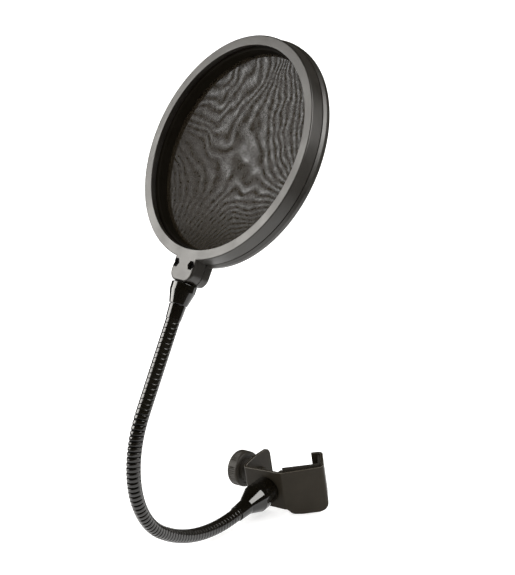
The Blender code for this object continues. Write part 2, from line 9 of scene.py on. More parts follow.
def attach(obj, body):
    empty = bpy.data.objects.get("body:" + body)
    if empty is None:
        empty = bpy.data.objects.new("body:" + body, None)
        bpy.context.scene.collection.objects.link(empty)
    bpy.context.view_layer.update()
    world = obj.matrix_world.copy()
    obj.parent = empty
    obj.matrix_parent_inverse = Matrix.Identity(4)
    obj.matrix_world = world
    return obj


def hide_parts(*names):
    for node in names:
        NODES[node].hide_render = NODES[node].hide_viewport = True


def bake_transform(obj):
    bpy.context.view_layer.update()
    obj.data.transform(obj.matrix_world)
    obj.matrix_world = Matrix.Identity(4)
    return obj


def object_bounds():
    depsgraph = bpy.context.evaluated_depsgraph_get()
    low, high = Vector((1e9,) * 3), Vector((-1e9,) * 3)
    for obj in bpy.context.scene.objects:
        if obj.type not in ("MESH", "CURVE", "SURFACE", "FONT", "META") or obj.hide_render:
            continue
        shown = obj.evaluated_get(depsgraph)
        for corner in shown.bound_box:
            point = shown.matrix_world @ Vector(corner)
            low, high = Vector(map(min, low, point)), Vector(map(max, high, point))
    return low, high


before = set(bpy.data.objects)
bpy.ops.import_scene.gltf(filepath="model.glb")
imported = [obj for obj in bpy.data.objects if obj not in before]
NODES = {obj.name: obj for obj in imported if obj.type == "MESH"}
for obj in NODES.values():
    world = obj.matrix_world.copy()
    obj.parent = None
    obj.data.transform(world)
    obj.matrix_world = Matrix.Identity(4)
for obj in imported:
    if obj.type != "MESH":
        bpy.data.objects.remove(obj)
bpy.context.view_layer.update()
MM = 0.001

# ---------------------------------------------------------------- driving dimensions, as in the CAD

YAW = math.radians(-34.2)
DIP = math.radians(10.5)
CLAMP_ROLL = math.radians(-2.4)
NECK_ROLL = math.radians(4.5)
SHEET = 2.0 * MM
GAP = 0.3 * MM
FLANGE_ANGLE = math.radians(84)
FRONT_LENGTH = 34.4 * MM
JAW_ANGLE = math.radians(33.5)
JAW_LENGTH = 32.5 * MM
LINER = 1.8 * MM
LINER_START = 1.6 * MM
LINER_BOTTOM = -14 * MM
JAW_TOP = 10.3 * MM
SCREW_HEIGHT = -3.6 * MM
SCREW_ALONG_FLANGE = 17.2 * MM
KNOB_GAP = 10.2 * MM
KNOB_RADIUS = 13.7 * MM
KNOB_LENGTH = 10.6 * MM
OUTLET_X = 20.3 * MM
OUTLET_Z = -6.3 * MM
LOWER_FERRULE = 34.4 * MM
NECK_BENDS = ((4.3, 0), (100.7, 40.4), (109.0, 86.6), (90.7, 0))
NECK_LENGTH = sum(length for length, _ in NECK_BENDS) * MM
NECK_RADIUS = 5.0 * MM
LINKS = 8
UPPER_FERRULE = 14.5 * MM
SLEEVE = 10.3 * MM
SWIVEL = math.radians(-18.3)
LEAN = math.radians(2.3)
RING_HEIGHT = 96.4 * MM
RING_FRONT = -5.5 * MM
HEAD_OFFSET = 1.3 * MM
SEAM = 9.2 * MM
HEAD_DEPTH = 16.2 * MM
TAB_HALF = 11.8 * MM
TAB_BOTTOM = 95.2 * MM
FASTENER_X = 8.0 * MM
FASTENER_OFFSET = 0.4 * MM
FASTENER_Y = -83.9 * MM
HOOP_OPENING = 73.2 * MM
HOOP_RECESS = 74.6 * MM
SCREW_HOLE = 1.75 * MM
SCREW_HEAD_HOLE = 2.95 * MM
STUD_HOLE = 3.3 * MM
NUT_POCKET = 6.0                    # millimetres across flats
NUT_POCKET_DEPTH = 3.2 * MM

# ---------------------------------------------------------------- dimensions of the visible shapes only

TAB_DROP = 0.7 * MM                 # how far the tab reaches below the CAD's
TAB_TOP = -76 * MM
TAB_CORNER = 7.2 * MM
TAB_CORNER_STEPS = 8
RIB_PITCH = 3.55 * MM
HOSE_START = -10 * MM               # inside the lower ferrule
HOSE_COLUMNS = 48
BLEND_REACH = 11 * MM               # along the hose, each way from a joint
STRAIGHT_START = 222 * MM           # past here the hose is straight and its strip lies tight
STRAIGHT_FADE = 35 * MM
FERRULE_OVERLAP = 6.3 * MM          # lower ferrule's sleeve over the hose
RIB_GROUPS = 6
RIBS_PER_GROUP = 6
RIBBED_SHARE = 0.66                 # of the knob's rim, the rest is the plain gaps between the groups
KNOB_RIB_DEPTH = 0.5 * MM
THREAD_PITCH = 1.0 * MM
THREAD_COLUMNS = 40
WELD = 0.001 * MM


# ---------------------------------------------------------------- frames

def attitude(roll):
    return Matrix.Rotation(YAW, 4, 'Z') @ Matrix.Rotation(DIP, 4, 'X') @ Matrix.Rotation(roll, 4, 'Y')


def clamp_frame():
    along = Vector((math.cos(JAW_ANGLE), math.sin(JAW_ANGLE)))
    inward = Vector((-math.sin(JAW_ANGLE), math.cos(JAW_ANGLE)))
    middle = (LINER_START + JAW_LENGTH) / 2
    flat = Vector((FRONT_LENGTH, 0)) + along * middle + inward * (SHEET + GAP + LINER)
    jaw = Vector((flat.x, flat.y, (LINER_BOTTOM + JAW_TOP) / 2))
    turned = attitude(CLAMP_ROLL)
    return Matrix.Translation(-(turned @ jaw)) @ turned


def screw_frame():
    flange = Vector((math.cos(FLANGE_ANGLE), math.sin(FLANGE_ANGLE), 0))
    drive = Vector((math.sin(FLANGE_ANGLE), -math.cos(FLANGE_ANGLE), 0))
    place = flange * SCREW_ALONG_FLANGE + drive * SHEET + Vector((0, 0, SCREW_HEIGHT))
    side = Vector((0, 0, 1)).cross(drive)
    turned = Matrix((side, Vector((0, 0, 1)), drive)).transposed().to_4x4()
    if turned.determinant() < 0:
        turned = Matrix((-side, Vector((0, 0, 1)), drive)).transposed().to_4x4()
    return CLAMP @ Matrix.Translation(place) @ turned


def station(distance):
    """Neck centre line: frame at a distance from the lower ferrule's mouth, z along the neck."""
    point = Vector((0, -LOWER_FERRULE, 0))
    angle = 0.0
    left = distance
    for length_mm, bend in NECK_BENDS:
        length = length_mm * MM
        run = min(left, length)
        turned = math.radians(bend) * run / length
        if bend:
            radius = length / math.radians(bend)
            point += radius * Vector((0, -(math.sin(angle + turned) - math.sin(angle)),
                                      -(math.cos(angle + turned) - math.cos(angle))))
        else:
            point += run * Vector((0, -math.cos(angle), math.sin(angle)))
        angle += turned
        left -= run
        if left <= 0:
            break
    onward = Vector((0, -math.cos(angle), math.sin(angle)))
    across = Vector((1, 0, 0))
    turned = Matrix((across, onward.cross(across), onward)).transposed().to_4x4()
    return NECK @ Matrix.Translation(point) @ turned


def curvature(distance):
    left = distance
    for length_mm, bend in NECK_BENDS:
        if left <= length_mm * MM:
            return math.radians(bend) / (length_mm * MM)
        left -= length_mm * MM
    return 0.0


CLAMP = clamp_frame()
SCREW = screw_frame()
NECK = Matrix.Translation(CLAMP @ Vector((OUTLET_X, 0, OUTLET_Z))) @ attitude(NECK_ROLL)
STEM = station(NECK_LENGTH)
UPRIGHT = Matrix(((-1, 0, 0, 0), (0, 0, 1, 0), (0, 1, 0, 0), (0, 0, 0, 1)))
HEAD = (STEM @ Matrix.Rotation(SWIVEL, 4, 'Z') @ UPRIGHT @ Matrix.Rotation(LEAN, 4, 'Z')
        @ Matrix.Translation((HEAD_OFFSET, RING_HEIGHT, RING_FRONT)))


# ---------------------------------------------------------------- mesh helpers

def add_piece(name, bm, matrix, mat, sharp=38):
    mesh = bpy.data.meshes.new(name)
    bm.to_mesh(mesh)
    bm.free()
    mesh.transform(matrix)
    if matrix.determinant() < 0:
        mesh.flip_normals()
    obj = bpy.data.objects.new(name, mesh)
    bpy.context.scene.collection.objects.link(obj)
    if mat:
        mesh.materials.append(mat)
    smooth(mesh, sharp)
    return obj


def smooth(mesh, sharp=38):
    mesh.polygons.foreach_set("use_smooth", [True] * len(mesh.polygons))
    mesh.set_sharp_from_angle(angle=math.radians(sharp))


def filleted(points, radii, steps=4):
    """Closed outline in the plane with each corner rounded by its radius."""
    out = []
    count = len(points)
    for i, radius in enumerate(radii):
        corner = Vector(points[i])
        if radius <= 0:
            out.append(corner)
            continue
        back = Vector(points[i - 1]) - corner
        ahead = Vector(points[(i + 1) % count]) - corner
        half = back.angle(ahead) / 2
        reach = min(radius / math.tan(half), back.length * 0.48, ahead.length * 0.48)
        true = reach * math.tan(half)
        back.normalize()
        ahead.normalize()
        centre = corner + (back + ahead).normalized() * (true / math.sin(half))
        a = corner + back * reach - centre
        b = corner + ahead * reach - centre
        sweep = a.angle_signed(b)
        for k in range(steps + 1):
            t = -sweep * k / steps
            turned = (a.x * math.cos(t) - a.y * math.sin(t), a.x * math.sin(t) + a.y * math.cos(t))
            out.append(centre + Vector(turned))
    return out


def lathe(outline, steps, shape=None):
    """Turns a closed outline of (radius, z) about Z. shape(r, z, angle) may move a radius."""
    bm = bmesh.new()
    rings = []
    for k in range(steps):
        angle = 2 * math.pi * k / steps
        ring = []
        for p in outline:
            radius = shape(p[0], p[1], angle) if shape else p[0]
            ring.append(bm.verts.new((radius * math.cos(angle), radius * math.sin(angle), p[1])))
        rings.append(ring)
    count = len(outline)
    for k in range(steps):
        ring, after = rings[k], rings[(k + 1) % steps]
        for i in range(count):
            j = (i + 1) % count
            bm.faces.new((ring[i], ring[j], after[j], after[i]))
    bmesh.ops.remove_doubles(bm, verts=bm.verts, dist=1e-7)
    bmesh.ops.recalc_face_normals(bm, faces=bm.faces)
    return bm


def loft(rings):
    """Skins a list of equal closed rings of points and caps both ends."""
    bm = bmesh.new()
    rows = [[bm.verts.new(p) for p in ring] for ring in rings]
    for low, high in zip(rows, rows[1:]):
        for i in range(len(low)):
            j = (i + 1) % len(low)
            bm.faces.new((low[i], low[j], high[j], high[i]))
    bm.faces.new(rows[0])
    bm.faces.new(rows[-1])
    bmesh.ops.recalc_face_normals(bm, faces=bm.faces)
    return bm


def prism(radius, low, high, sides):
    return loft([[Vector((radius * math.cos(2 * math.pi * k / sides), radius * math.sin(2 * math.pi * k / sides), z))
                  for k in range(sides)] for z in (low, high)])


def wind(bm, grid, per, count, groove_shade_rows=()):
    """Faces of a helix, per rows to a turn: the end of each row meets the start of that row one turn on. Faces of
    the listed rows take the second material, which on the neck is the painted shade of the grooves.
    """
    columns = len(grid[0])
    for i in range(min(count, len(grid) - 1)):
        for c in range(columns):
            if c < columns - 1:
                quad = (grid[i][c], grid[i][c + 1], grid[i + 1][c + 1], grid[i + 1][c])
            elif i + per + 1 < len(grid):
                quad = (grid[i][c], grid[i + per][0], grid[i + per + 1][0], grid[i + 1][c])
            else:
                continue
            # the listed rows take the second material: on the neck, the painted shade in the grooves
            bm.faces.new(quad).material_index = 1 if i % per in groove_shade_rows else 0
    bmesh.ops.delete(bm, geom=[v for v in bm.verts if not v.link_faces], context='VERTS')


def apply_all(obj, sharp=38):
    bpy.context.view_layer.update()
    done = bpy.data.meshes.new_from_object(obj.evaluated_get(bpy.context.evaluated_depsgraph_get()))
    obj.modifiers.clear()
    old = obj.data
    obj.data = done
    bpy.data.meshes.remove(old)
    smooth(done, sharp)


def boolean(obj, operation, tools):
    for tool in tools:
        mod = obj.modifiers.new(operation, 'BOOLEAN')
        mod.operation = operation
        mod.object = tool
        mod.solver = 'EXACT'
    apply_all(obj)
    for tool in tools:
        bpy.data.objects.remove(tool, do_unlink=True)


def even_normals(obj):
    mod = obj.modifiers.new("normals", 'WEIGHTED_NORMAL')
    mod.keep_sharp = True


def stand_for(obj, body, slot, *nodes):
    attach(obj, body)
    even_normals(obj)
    if nodes:
        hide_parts(*nodes)


# ---------------------------------------------------------------- materials

def new_material(name):
    mat = bpy.data.materials.new(name)
    mat.use_nodes = True
    tree = mat.node_tree
    return mat, tree, tree.nodes["Principled BSDF"]


def link(tree, a, b):
    tree.links.new(a, b)


def node(tree, kind, **values):
    made = tree.nodes.new(kind)
    for key, value in values.items():
        setattr(made, key, value)
    return made


def noise(tree, coords, scale, detail=3.0, rough=0.5):
    made = node(tree, "ShaderNodeTexNoise")
    made.inputs["Scale"].default_value = scale
    made.inputs["Detail"].default_value = detail
    made.inputs["Roughness"].default_value = rough
    link(tree, coords, made.inputs["Vector"])
    return made.outputs["Fac"]


def remap(tree, value, low, high, from_low=0.0, from_high=1.0):
    made = node(tree, "ShaderNodeMapRange")
    made.inputs["From Min"].default_value = from_low
    made.inputs["From Max"].default_value = from_high
    made.inputs["To Min"].default_value = low
    made.inputs["To Max"].default_value = high
    link(tree, value, made.inputs["Value"])
    return made.outputs["Result"]


def ramp(tree, value, stops):
    made = node(tree, "ShaderNodeValToRGB")
    elements = made.color_ramp.elements
    while len(elements) < len(stops):
        elements.new(0.5)
    for element, (place, colour) in zip(elements, stops):
        element.position = place
        element.color = (*colour, 1)
    link(tree, value, made.inputs["Fac"])
    return made.outputs["Color"]


def math_node(tree, operation, a, b=None):
    made = node(tree, "ShaderNodeMath", operation=operation)
    for socket, value in zip(made.inputs, (a, b)):
        if value is None:
            continue
        if isinstance(value, (int, float)):
            socket.default_value = value
        else:
            link(tree, value, socket)
    return made.outputs[0]


def bump(tree, shader, height, strength, distance):
    made = node(tree, "ShaderNodeBump")
    made.inputs["Strength"].default_value = strength
    made.inputs["Distance"].default_value = distance
    link(tree, height, made.inputs["Height"])
    link(tree, made.outputs["Normal"], shader.inputs["Normal"])


def surface(name, dark, light, rough, grain, grain_depth, metallic=0.0, ior=1.5, spread=0.06):
    """Moulded, painted or plated finish: two-tone colour, uneven roughness and a fine grain in bump."""
    mat, tree, shader = new_material(name)
    coords = node(tree, "ShaderNodeTexCoord").outputs["Object"]
    broad = noise(tree, coords, 60, 4.0, 0.6)
    fine = noise(tree, coords, grain, 2.0)
    colour = ramp(tree, broad, [(0.3, dark), (0.7, light)])
    link(tree, colour, shader.inputs["Base Color"])
    link(tree, remap(tree, broad, rough - spread, rough + spread, 0.3, 0.7), shader.inputs["Roughness"])
    shader.inputs["Metallic"].default_value = metallic
    shader.inputs["IOR"].default_value = ior
    bump(tree, shader, fine, 0.5, grain_depth)
    return mat


HOOP = surface("hoop plastic",
               (0.0090, 0.0072, 0.0048), (0.0125, 0.0102, 0.0070), 0.40, 2600, 0.00003, ior=1.52)
DARK = surface("spreader plastic",
               (0.0060, 0.0048, 0.0030), (0.0085, 0.0070, 0.0048), 0.6, 2200, 0.00003, ior=1.09)
PAINT = surface("bracket paint",
                (0.0165, 0.0132, 0.0086), (0.0215, 0.0176, 0.0120), 0.42, 1500, 0.00004, ior=1.22)
# Lighter colour for the bracket's bevelled edges: a painted highlight, the line of light along the sheet's cut
# edges.
EDGE_HIGHLIGHT = surface("bracket edges painted highlight",
               (0.080, 0.069, 0.053), (0.11, 0.097, 0.076), 0.36, 1500, 0.00002, ior=1.5)
RUBBER = surface("liner rubber",
                 (0.0145, 0.0118, 0.0080), (0.020, 0.0165, 0.0118), 0.7, 3200, 0.00008, ior=1.25)
KNOB = surface("knob plastic",
               (0.0185, 0.0152, 0.0105), (0.025, 0.021, 0.0152), 0.5, 2600, 0.00004, ior=1.3)
GLOSS = surface("gloss black plating",
                (0.0020, 0.0015, 0.0006), (0.0032, 0.0025, 0.0014), 0.10, 700, 0.000004, ior=1.5, spread=0.03)
STRIP = surface("neck strip plating",
                (0.0032, 0.0025, 0.0012), (0.0052, 0.0042, 0.0026), 0.14, 1800, 0.000008, ior=1.47, spread=0.04)
# Near-black, dull finish on the neck's groove faces: painted shade in the grooves, standing also for the wire wound
# between the strips.
GROOVE_SHADE = surface("neck grooves painted shade",
                 (0.0006, 0.0005, 0.0003), (0.0014, 0.0011, 0.0007), 0.6, 1800, 0.00002, ior=1.12)
STEEL = surface("zinc plated steel",
                (0.42, 0.41, 0.39), (0.55, 0.54, 0.51), 0.3, 2400, 0.00002, metallic=1.0)
OXIDE = surface("black oxide",
                (0.0010, 0.0008, 0.0004), (0.0020, 0.0016, 0.0010), 0.6, 2400, 0.00003, ior=1.07)
FLOOR = surface("pale floor", (0.84, 0.84, 0.84), (0.85, 0.85, 0.85), 0.8, 40, 0.00001, ior=1.1)
FLOOR.node_tree.nodes["Principled BSDF"].inputs["Emission Color"].default_value = (1, 1, 1, 1)
FLOOR.node_tree.nodes["Principled BSDF"].inputs["Emission Strength"].default_value = 0.42


def screen_material(name, thin, thick, strong, twist):
    """Knitted nylon. The two screens' threads drift apart smoothly, and where they beat the pair shows
    watered bands: a saddle, with arcs at the right and the lower edge and nested curves at the upper left."""
    mat, tree, shader = new_material(name)
    place = node(tree, "ShaderNodeAttribute", attribute_name="flat").outputs["Vector"]
    wobble = noise(tree, place, 42 + twist, 1.0, 0.4)
    ripple = noise(tree, place, 190 + twist, 2.0, 0.5)
    grain = noise(tree, place, 850, 2.0, 0.7)

    def along(x, y, z=0.0):
        dot = node(tree, "ShaderNodeVectorMath", operation='DOT_PRODUCT')
        link(tree, place, dot.inputs[0])
        dot.inputs[1].default_value = (x, y, 0)
        return math_node(tree, "ADD", dot.outputs["Value"], z)

    def times(a, b):
        return math_node(tree, "MULTIPLY", a, b)

    def plus(a, b):
        return math_node(tree, "ADD", a, b)

    def bands(count):
        return math_node(tree, "COSINE", times(count, 2 * math.pi))

    # across and up the screen, in millimetres from the saddle
    p = along(-589, 501, -1.8)
    q = along(275, 860, 6.4)
    square = plus(times(times(p, p), 0.0033), times(times(q, q), -0.00273))
    saddle = plus(square, times(times(times(q, q), q), 0.0000205))
    saddle = plus(saddle, times(p, 0.055))
    first = plus(saddle, remap(tree, wobble, -1.1, 1.1, 0.2, 0.8))
    second = plus(times(times(p, q), 0.0048), remap(tree, wobble, 0.9, -0.9, 0.2, 0.8))
    beat = plus(times(bands(first), 0.85), times(bands(second), 0.18))
    calm = remap(tree, p, 0.55, 1.0, -34.0, -8.0)
    beat = times(times(beat, calm), remap(tree, ripple, 0.3, 1.5, 0.3, 0.7))
    level = plus(beat, remap(tree, grain, -0.8, 0.8, 0.2, 0.8))
    fade = times(remap(tree, q, 0.25, 1.0, -68.0, -26.0), remap(tree, p, 0.7, 1.0, -34.0, -8.0))
    open_part = math_node(tree, "POWER", remap(tree, level, 0.0, 1.0, -1.5 * strong, 1.8 * strong), 1.7)
    through = times(remap(tree, open_part, thin, thick), fade)
    link(tree, math_node(tree, "SUBTRACT", 1.0, through), shader.inputs["Alpha"])
    link(tree, ramp(tree, grain, [(0.3, (0.0095, 0.0072, 0.0042)), (0.78, (0.034, 0.027, 0.018))]),
         shader.inputs["Base Color"])
    shader.inputs["Roughness"].default_value = 0.65
    shader.inputs["IOR"].default_value = 1.08
    across = math_node(tree, "SINE", along(12000, 0))
    threads = math_node(tree, "MAXIMUM", across, math_node(tree, "SINE", along(0, 12000)))
    bump(tree, shader, threads, 0.4, 0.00008)
    return mat


FRONT_NYLON = screen_material("front screen nylon", 0.015, 0.52, 1.0, 0.0)
REAR_NYLON = screen_material("rear screen nylon", 0.16, 0.50, 2.5, 7.0)


# ---------------------------------------------------------------- head

def tab_ring(depth, inset):
    """Outline of the tab at a depth, drawn in by inset all round but at its top."""
    half = TAB_HALF - inset
    low = -(TAB_BOTTOM + TAB_DROP - inset)
    corner = max(TAB_CORNER - inset, 1 * MM)
    flat = filleted([(half, TAB_TOP), (half, low), (-half, low), (-half, TAB_TOP)], [0, corner, corner, 0],
                    TAB_CORNER_STEPS)
    return [Vector((p.x, p.y, depth)) for p in flat]


def tool(bm, matrix):
    return add_piece("tool", bm, matrix, None)


def tab_solid(sections):
    """The tab through its (depth, inset in millimetres) sections, which round its edges."""
    return tool(loft([tab_ring(depth, inset * MM) for depth, inset in sections]), HEAD)


def stud_bore():
    place = (HEAD @ Matrix.Translation((-HEAD_OFFSET, -RING_HEIGHT, -RING_FRONT)) @ Matrix.Rotation(-LEAN, 4, 'Z')
             @ Matrix.Rotation(-math.pi / 2, 4, 'X'))
    return tool(prism(STUD_HOLE, -8 * MM, 6 * MM, 32), place)


def build_head():
    places = [Matrix.Translation((side * FASTENER_X + FASTENER_OFFSET, FASTENER_Y, 0)) for side in (1, -1)]
    front = filleted([(HOOP_OPENING, 0), (HOOP_OPENING, 3.0 * MM), (HOOP_RECESS, 3.0 * MM), (HOOP_RECESS, SEAM),
                      (80.9 * MM, SEAM), (80.2 * MM, 0)],
                     [0.35 * MM, 0.25 * MM, 0, 0.1 * MM, 0.35 * MM, 0.9 * MM])
    hoop = add_piece("front_hoop_shell", lathe(front, 256), HEAD, HOOP)
    tab = tab_solid([(SEAM, 0.35), (SEAM - 0.1 * MM, 0.12), (SEAM - 0.35 * MM, 0), (2.1 * MM, 0), (1.4 * MM, 0.12),
                     (0.85 * MM, 0.38), (0.45 * MM, 0.75), (0.18 * MM, 1.2), (0.04 * MM, 1.7), (0, 2.2)])
    boolean(hoop, 'UNION', [tab])
    cuts = [stud_bore()]
    for place in places:
        cuts.append(tool(prism(SCREW_HOLE, -2 * MM, 12 * MM, 24), HEAD @ place))
        cuts.append(tool(prism(NUT_POCKET / math.sqrt(3) * MM, -2 * MM, NUT_POCKET_DEPTH, 6), HEAD @ place))
    boolean(hoop, 'DIFFERENCE', cuts)
    stand_for(hoop, "head", "hoop", "front_hoop")

    start = SEAM + GAP
    rear = filleted([(HOOP_RECESS, start), (HOOP_RECESS, 14.8 * MM), (70.6 * MM, 14.8 * MM), (70.6 * MM, HEAD_DEPTH),
                     (81.6 * MM, HEAD_DEPTH), (82.0 * MM, 12 * MM), (81.0 * MM, start)],
                    [0.1 * MM, 0, 0.2 * MM, 0.4 * MM, 2.4 * MM, 1.2 * MM, 0.35 * MM], 6)
    back = add_piece("rear_hoop_shell", lathe(rear, 256), HEAD, HOOP)
    tab = tab_solid([(start, 0.35), (start + 0.1 * MM, 0.12), (start + 0.35 * MM, 0), (HEAD_DEPTH - 1.6 * MM, 0),
                     (HEAD_DEPTH - 0.8 * MM, 0.2), (HEAD_DEPTH - 0.25 * MM, 0.75), (HEAD_DEPTH, 1.6)])
    boolean(back, 'UNION', [tab])
    cuts = [stud_bore()]
    for place in places:
        cuts.append(tool(prism(SCREW_HOLE, 2 * MM, 30 * MM, 24), HEAD @ place))
        cuts.append(tool(prism(SCREW_HEAD_HOLE, HEAD_DEPTH - 2.2 * MM, 20 * MM, 32), HEAD @ place))
    boolean(back, 'DIFFERENCE', cuts)
    stand_for(back, "head", "hoop", "rear_hoop")

    ring = filleted([(71.4 * MM, 5.2 * MM), (71.4 * MM, 12.9 * MM), (74.3 * MM, 12.9 * MM), (74.3 * MM, 5.2 * MM)],
                    [0.5 * MM, 0.2 * MM, 0.2 * MM, 0.3 * MM])
    spreader = add_piece("spreader_ring_inner", lathe(ring, 256), HEAD, DARK)
    stand_for(spreader, "head", "dark_plastic", "spreader_ring")

    for name, depth, mat, node_name in (("front_screen_mesh", 13.35, FRONT_NYLON, "front_screen"),
                                        ("rear_screen_mesh", 14.1, REAR_NYLON, "rear_screen")):
        screen = add_piece(name, disc(74.1 * MM, 26, 128, depth * MM), Matrix.Identity(4), mat)
        place = np.empty(len(screen.data.vertices) * 3, dtype=np.float32)
        screen.data.vertices.foreach_get("co", place)
        flat = screen.data.attributes.new("flat", 'FLOAT_VECTOR', 'POINT')
        flat.data.foreach_set("vector", place)
        screen.data.transform(HEAD)
        stand_for(screen, "head", "screen", node_name)


def disc(radius, rings, steps, depth):
    """Stretched disc with a very shallow slack towards its middle."""
    bm = bmesh.new()
    centre = bm.verts.new((0, 0, depth - 0.0001))
    rows = []
    for k in range(1, rings + 1):
        r = radius * k / rings
        z = depth - 0.0001 * math.cos(math.pi / 2 * k / rings)
        turns = [2 * math.pi * i / steps for i in range(steps)]
        rows.append([bm.verts.new((r * math.cos(turn), r * math.sin(turn), z)) for turn in turns])
    for i in range(steps):
        bm.faces.new((centre, rows[0][i], rows[0][(i + 1) % steps]))
    for low, high in zip(rows, rows[1:]):
        for i in range(steps):
            j = (i + 1) % steps
            bm.faces.new((low[i], high[i], high[j], low[j]))
    return bm


# ---------------------------------------------------------------- neck

def strip_rows():
    """The strip's section over one turn, in millimetres: (place along the hose, depth). The crown is an arc."""
    half = [(0.0, 0.0), (0.7, 0.01), (1.12, 0.04), (1.35, 0.10), (1.48, 0.2), (1.56, 0.38)]
    crown = [(-x, depth) for x, depth in reversed(half[1:])] + half
    return [(-RIB_PITCH / MM / 2, 0.5), (-1.62, 0.5)] + crown + [(1.62, 0.5)]


def strip_point(turn, row, column, columns, offset):
    """The strip lies tight where the hose is straight, and its grooves open where it bends."""
    x, depth = row
    theta = 2 * math.pi * column / columns
    centre = offset + (turn + 0.5 + column / columns) * RIB_PITCH
    stretch = -curvature(min(max(centre, 0), NECK_LENGTH)) * NECK_RADIUS * math.sin(theta)
    bent = 0.26 + 0.74 * min(max((STRAIGHT_START - centre) / STRAIGHT_FADE, 0), 1)
    if x > -1.7:
        x = x / (1 + 5 * stretch) + math.copysign(0.1 * (1 - bent), x)
    depth *= bent * (1 + 6 * max(stretch, 0))
    radius = NECK_RADIUS - depth * MM
    return station(centre + x * MM) @ Vector((radius * math.cos(theta), radius * math.sin(theta), 0))


def build_neck():
    """Gooseneck: one helix of strip, made as a piece for each joint, cut where the hose is rigid."""
    hose = NECK_LENGTH - UPPER_FERRULE
    pitch = (hose - SLEEVE) / LINKS
    rows = strip_rows()
    per = len(rows)
    first = HOSE_START
    cuts = [0]
    for k in range(1, LINKS + 1):
        cuts.append(round(((k - 0.5) * pitch - first) / RIB_PITCH))
    cuts.append(int((hose + 1 * MM - first) / RIB_PITCH))
    for k, (low, high) in enumerate(zip(cuts, cuts[1:])):
        bm = bmesh.new()
        grid = [[bm.verts.new(strip_point(turn, row, c, HOSE_COLUMNS, first)) for c in range(HOSE_COLUMNS)]
                for turn in range(low, high + (1 if k < len(cuts) - 2 else 0)) for row in rows]
        wind(bm, grid, per, (high - low) * per, (0, 1, per - 1))
        bmesh.ops.recalc_face_normals(bm, faces=bm.faces)
        piece = add_piece(f"gooseneck_{k}", bm, Matrix.Identity(4), STRIP, 50)
        # second material: the painted shade on the groove rows
        piece.data.materials.append(GROOVE_SHADE)
        if k == 0:
            stand_for(piece, "clamp", "neck", "neck_link_1")
        elif k == len(cuts) - 2:
            stand_for(piece, "neck_8", "neck", "neck_link_8")
        else:
            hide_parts(f"neck_link_{k}", f"neck_link_{k + 1}")
            station(k * pitch - BLEND_REACH).translation
            station(k * pitch + BLEND_REACH).translation
            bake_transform(piece)


def build_ferrules():
    mouth = LOWER_FERRULE + FERRULE_OVERLAP
    turned = NECK @ Matrix.Rotation(math.pi / 2, 4, 'X')
    outline = filleted([(5.25 * MM, 19 * MM), (5.25 * MM, mouth), (5.65 * MM, mouth), (6.3 * MM, 28.6 * MM),
                        (10.0 * MM, 18.4 * MM), (10.8 * MM, 16.4 * MM), (10.8 * MM, 11.5 * MM), (10.4 * MM, 6 * MM),
                        (10.4 * MM, GAP), (2.9 * MM, GAP), (2.9 * MM, 19 * MM)],
                       [0, 0.1 * MM, 0.2 * MM, 0.8 * MM, 0.7 * MM, 0.7 * MM, 1.0 * MM, 1.0 * MM, 0.6 * MM,
                        0.1 * MM, 0], 5)
    lower = add_piece("lower_ferrule_turned", lathe(outline, 128), turned, GLOSS)
    stand_for(lower, "clamp", "gloss_black", "lower_ferrule")
    high = UPPER_FERRULE
    outline = filleted([(3.3 * MM, 2 * MM), (3.3 * MM, high), (8.8 * MM, high), (8.7 * MM, high - 5.2 * MM),
                        (6.3 * MM, 0), (3.3 * MM, 0)],
                       [0, 0.15 * MM, 0.55 * MM, 2.5 * MM, 0.35 * MM, 0], 6)
    place = station(NECK_LENGTH - UPPER_FERRULE)
    upper = add_piece("upper_ferrule_turned", lathe(outline, 128), place, GLOSS)
    stand_for(upper, "neck_8", "gloss_black", "upper_ferrule")
    outline = filleted([(5.08 * MM, 0), (5.08 * MM, SLEEVE - GAP), (5.9 * MM, SLEEVE - GAP), (5.35 * MM, 0)],
                       [0.05 * MM, 0.05 * MM, 0.2 * MM, 0.1 * MM])
    place = station(NECK_LENGTH - UPPER_FERRULE - SLEEVE)
    sleeve = add_piece("upper_sleeve_turned", lathe(outline, 96), place, GLOSS)
    stand_for(sleeve, "neck_8", "gloss_black", "upper_sleeve")


# ---------------------------------------------------------------- clamp

SIDE = SCREW.to_3x3().inverted() @ Vector((-0.65, -0.76, 0.0))
KNOB_TURN = math.atan2(SIDE.y, SIDE.x) - math.radians(19.8)


def knob_shape(radius, z, angle):
    """Fine ribs in six groups round the middle of the rim."""
    middle = -(SHEET + KNOB_GAP) - 6.0 * MM
    group = 360 / RIB_GROUPS
    part = (math.degrees(angle - KNOB_TURN) % group) / group
    if radius < KNOB_RADIUS - 0.7 * MM or abs(z - middle) > 2.4 * MM or part > RIBBED_SHARE:
        return radius
    ripple = 0.5 - 0.5 * math.cos(2 * math.pi * part / RIBBED_SHARE * RIBS_PER_GROUP)
    return radius - KNOB_RIB_DEPTH * ripple ** 2


def build_knob():
    back = -(SHEET + KNOB_GAP)
    rim = KNOB_RADIUS
    end = back - KNOB_LENGTH
    outline = filleted([(3.3 * MM, back), (3.3 * MM, end + 2 * MM), (8.0 * MM, end + 2 * MM), (8.0 * MM, end),
                        (rim, end), (rim, back - 0.9 * MM), (10.6 * MM, back - 0.9 * MM),
                        (10.6 * MM, back - 1.7 * MM), (8.6 * MM, back - 1.7 * MM), (8.6 * MM, back)],
                       [0, 0.1 * MM, 0.1 * MM, 0.4 * MM, 1.9 * MM, 1.3 * MM, 0.3 * MM, 0.2 * MM, 0.2 * MM,
                        0.5 * MM], 5)
    dense = []
    for a, b in zip(outline, outline[1:] + outline[:1]):
        parts = max(1, round((b - a).length / (0.7 * MM)))
        dense += [a.lerp(b, k / parts) for k in range(parts)]
    knob = add_piece("thumb_knob_ribbed", lathe(dense, 360, shape=knob_shape), SCREW, KNOB, 50)
    stand_for(knob, "screw", "knob", "thumb_knob")


